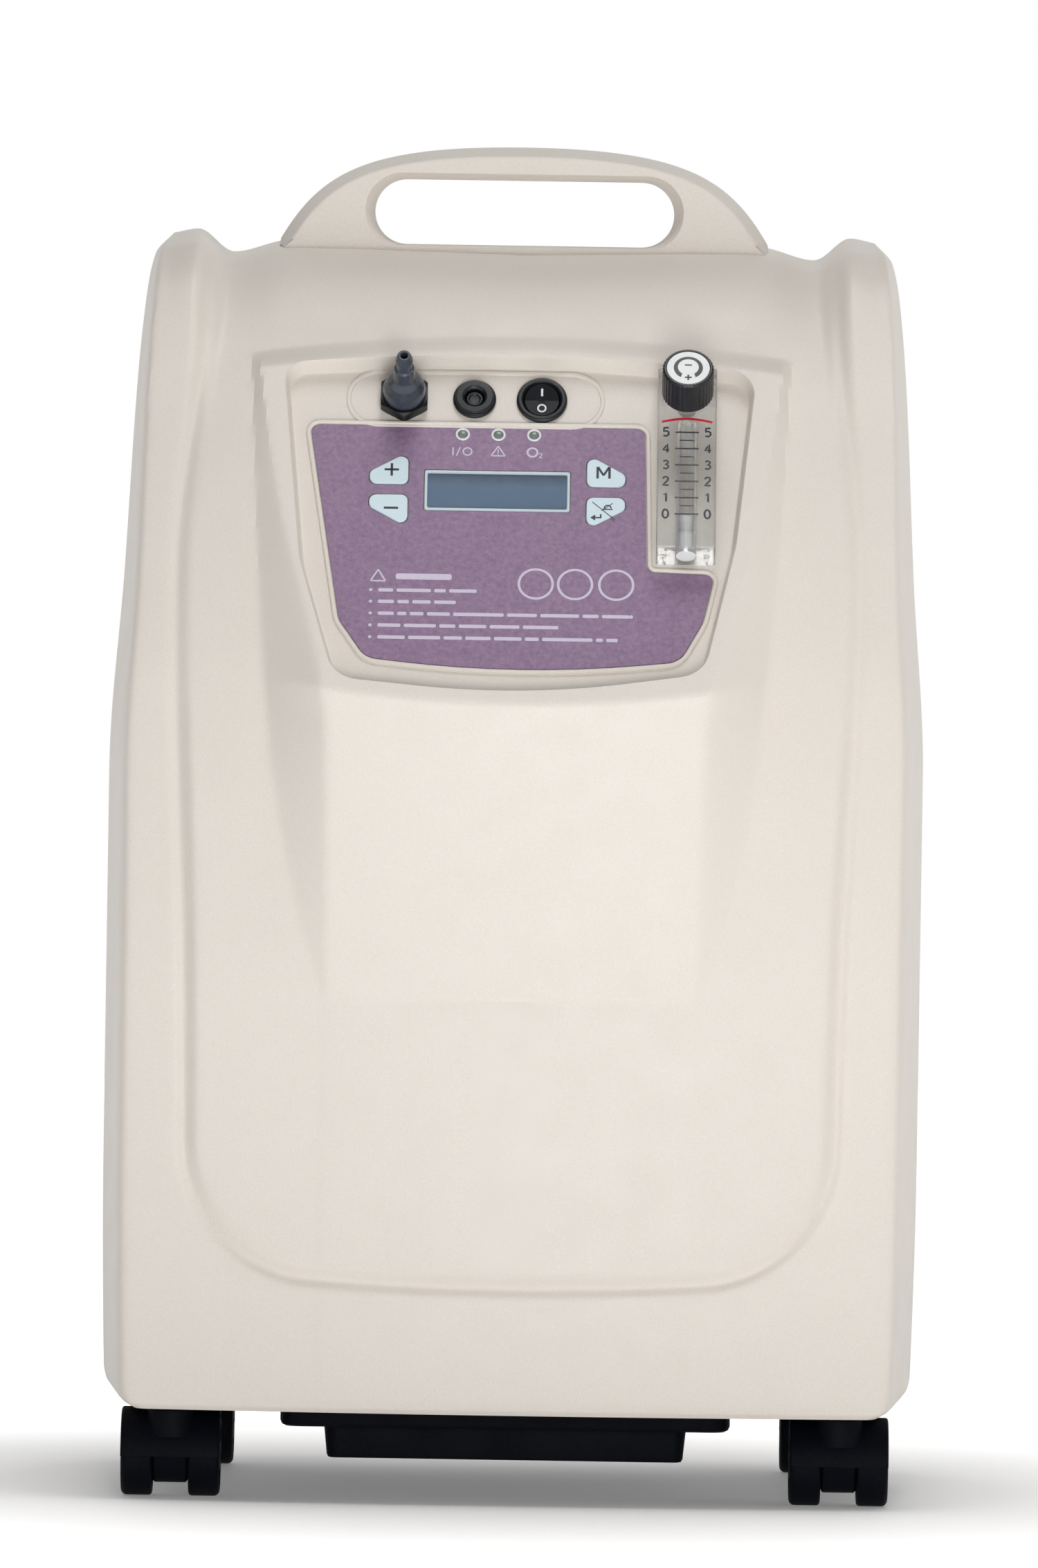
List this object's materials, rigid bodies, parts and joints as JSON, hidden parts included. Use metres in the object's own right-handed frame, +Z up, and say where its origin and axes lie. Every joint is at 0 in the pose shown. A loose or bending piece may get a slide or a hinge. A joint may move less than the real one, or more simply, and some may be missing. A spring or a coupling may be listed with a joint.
{
  "type": "oxygen concentrator",
  "caption": "Home oxygen concentrator: tall rounded two-shell cabinet on casters, hand opening on top, sloping control console with display, keys, switch, outlet and flowmeter.",
  "frame": {"origin": "on the floor, at the centre of the overall box", "axes": "+Z up, front faces -Y, +X to the right of someone who stands before it"},
  "size_m": [0.365, 0.375, 0.6],
  "materials": {
    "cream_shell": "fine spark-eroded texture, satin",
    "black_plastic": "satin moulded nylon",
    "caster_black": "moulded nylon",
    "slate_plastic": "smooth moulded",
    "lilac_label": "printed film, fine grain",
    "display_grey": "clear window over a grey display",
    "indicator_lens": "translucent lens, unlit",
    "pale_key": "satin",
    "clear_acrylic": "polished clear acrylic",
    "steel": "zinc plated",
    "aluminium": "cast and extruded",
    "black_rubber": "matt",
    "copper": "drawn copper tube",
    "board_green": "solder mask",
    "dark_foam": "open-cell foam",
    "white_plastic": "smooth"
  },
  "bodies": {
    "cabinet": {"front_shell": "cream_shell", "rear_shell": "cream_shell", "base_tray": "black_plastic", "exhaust_box": "black_plastic", "control_label": "lilac_label", "display_window": "display_grey", "indicator_power": "indicator_lens", "indicator_alarm": "indicator_lens", "indicator_oxygen": "indicator_lens", "outlet_nut": "black_plastic", "outlet_nozzle": "slate_plastic", "breaker_bezel": "black_plastic", "switch_bezel": "black_plastic", "flowmeter_body": "clear_acrylic", "flowmeter_plug": "black_plastic", "power_inlet": "black_plastic", "filter_frame": "cream_shell", "mount_plate": "steel", "compressor_motor": "aluminium", "compressor_head_left": "aluminium", "compressor_head_right": "aluminium", "intake_silencer": "black_plastic", "internal_shelf": "steel", "fan_frame": "black_plastic", "sieve_bed_left": "aluminium", "sieve_bed_right": "aluminium", "oxygen_tank": "aluminium", "valve_block": "aluminium", "cooling_coil": "copper", "circuit_board": "board_green", "bacteria_filter": "white_plastic", "outlet_hose": "white_plastic", "rubber_mount_front_left": "black_rubber", "rubber_mount_front_right": "black_rubber", "rubber_mount_rear_left": "black_rubber", "rubber_mount_rear_right": "black_rubber"},
    "filter_door": {"filter_cover": "cream_shell", "filter_foam": "dark_foam"},
    "rocker": {"switch_rocker": "black_plastic"},
    "reset_button": {"breaker_button": "black_plastic"},
    "key_plus": {"key_plus": "pale_key"},
    "key_minus": {"key_minus": "pale_key"},
    "key_mode": {"key_mode": "pale_key"},
    "key_mute": {"key_mute": "pale_key"},
    "knob": {"flowmeter_knob": "black_plastic"},
    "float": {"flowmeter_float": "steel"},
    "fan": {"fan_rotor": "black_plastic"},
    "caster_front_left": {"caster_fork_front_left": "caster_black"},
    "wheel_front_left_outer": {"caster_wheel_front_left_outer": "caster_black"},
    "wheel_front_left_inner": {"caster_wheel_front_left_inner": "caster_black"},
    "caster_front_right": {"caster_fork_front_right": "caster_black"},
    "wheel_front_right_outer": {"caster_wheel_front_right_outer": "caster_black"},
    "wheel_front_right_inner": {"caster_wheel_front_right_inner": "caster_black"},
    "caster_rear_left": {"caster_fork_rear_left": "caster_black"},
    "wheel_rear_left_outer": {"caster_wheel_rear_left_outer": "caster_black"},
    "wheel_rear_left_inner": {"caster_wheel_rear_left_inner": "caster_black"},
    "caster_rear_right": {"caster_fork_rear_right": "caster_black"},
    "wheel_rear_right_outer": {"caster_wheel_rear_right_outer": "caster_black"},
    "wheel_rear_right_inner": {"caster_wheel_rear_right_inner": "caster_black"}
  },
  "joints": [
    {"name": "filter_pull", "type": "slide", "parent": "cabinet", "child": "filter_door", "axis": [0, 1, 0], "range_m": [0, 0.03]},
    {"name": "power_switch", "type": "hinge", "parent": "cabinet", "child": "rocker", "pos_m": [0.0092, -0.10021, 0.4842], "axis": [-1, 0, 0], "range_deg": [0, 18]},
    {"name": "breaker_reset", "type": "slide", "parent": "cabinet", "child": "reset_button", "axis": [0, -0.866, 0.5], "range_m": [0, 0.004]},
    {"name": "press_plus", "type": "slide", "parent": "cabinet", "child": "key_plus", "axis": [0, 0.866, -0.5], "range_m": [0, 0.0006], "stiffness_N_per_m": 1200, "springref_m": -0.0005},
    {"name": "press_minus", "type": "slide", "parent": "cabinet", "child": "key_minus", "axis": [0, 0.866, -0.5], "range_m": [0, 0.0006], "stiffness_N_per_m": 1200, "springref_m": -0.0005},
    {"name": "press_mode", "type": "slide", "parent": "cabinet", "child": "key_mode", "axis": [0, 0.866, -0.5], "range_m": [0, 0.0006], "stiffness_N_per_m": 1200, "springref_m": -0.0005},
    {"name": "press_mute", "type": "slide", "parent": "cabinet", "child": "key_mute", "axis": [0, 0.866, -0.5], "range_m": [0, 0.0006], "stiffness_N_per_m": 1200, "springref_m": -0.0005},
    {"name": "flow_valve", "type": "hinge", "parent": "cabinet", "child": "knob", "pos_m": [0.0732, -0.11782, 0.48629], "axis": [0, -0.766, 0.6428], "range_deg": [0, 990]},
    {"name": "float_rise", "type": "slide", "parent": "cabinet", "child": "float", "axis": [0, 0.5, 0.866], "range_m": [0, 0.042]},
    {"name": "fan_spin", "type": "hinge", "parent": "cabinet", "child": "fan", "pos_m": [0, -0.055, 0.21], "axis": [0, 0, 1], "continuous": true},
    {"name": "swivel_front_left", "type": "hinge", "parent": "cabinet", "child": "caster_front_left", "pos_m": [-0.147, -0.122, 0.04], "axis": [0, 0, 1], "continuous": true},
    {"name": "roll_front_left_outer", "type": "hinge", "parent": "caster_front_left", "child": "wheel_front_left_outer", "pos_m": [-0.147, -0.11, 0.018], "axis": [1, 0, 0], "continuous": true},
    {"name": "roll_front_left_inner", "type": "hinge", "parent": "caster_front_left", "child": "wheel_front_left_inner", "pos_m": [-0.147, -0.11, 0.018], "axis": [1, 0, 0], "continuous": true},
    {"name": "swivel_front_right", "type": "hinge", "parent": "cabinet", "child": "caster_front_right", "pos_m": [0.147, -0.122, 0.04], "axis": [0, 0, 1], "continuous": true},
    {"name": "roll_front_right_outer", "type": "hinge", "parent": "caster_front_right", "child": "wheel_front_right_outer", "pos_m": [0.147, -0.11, 0.018], "axis": [1, 0, 0], "continuous": true},
    {"name": "roll_front_right_inner", "type": "hinge", "parent": "caster_front_right", "child": "wheel_front_right_inner", "pos_m": [0.147, -0.11, 0.018], "axis": [1, 0, 0], "continuous": true},
    {"name": "swivel_rear_left", "type": "hinge", "parent": "cabinet", "child": "caster_rear_left", "pos_m": [-0.147, 0.122, 0.04], "axis": [0, 0, 1], "continuous": true},
    {"name": "roll_rear_left_outer", "type": "hinge", "parent": "caster_rear_left", "child": "wheel_rear_left_outer", "pos_m": [-0.147, 0.134, 0.018], "axis": [1, 0, 0], "continuous": true},
    {"name": "roll_rear_left_inner", "type": "hinge", "parent": "caster_rear_left", "child": "wheel_rear_left_inner", "pos_m": [-0.147, 0.134, 0.018], "axis": [1, 0, 0], "continuous": true},
    {"name": "swivel_rear_right", "type": "hinge", "parent": "cabinet", "child": "caster_rear_right", "pos_m": [0.147, 0.122, 0.04], "axis": [0, 0, 1], "continuous": true},
    {"name": "roll_rear_right_outer", "type": "hinge", "parent": "caster_rear_right", "child": "wheel_rear_right_outer", "pos_m": [0.147, 0.134, 0.018], "axis": [1, 0, 0], "continuous": true},
    {"name": "roll_rear_right_inner", "type": "hinge", "parent": "caster_rear_right", "child": "wheel_rear_right_inner", "pos_m": [0.147, 0.134, 0.018], "axis": [1, 0, 0], "continuous": true}
  ]
}
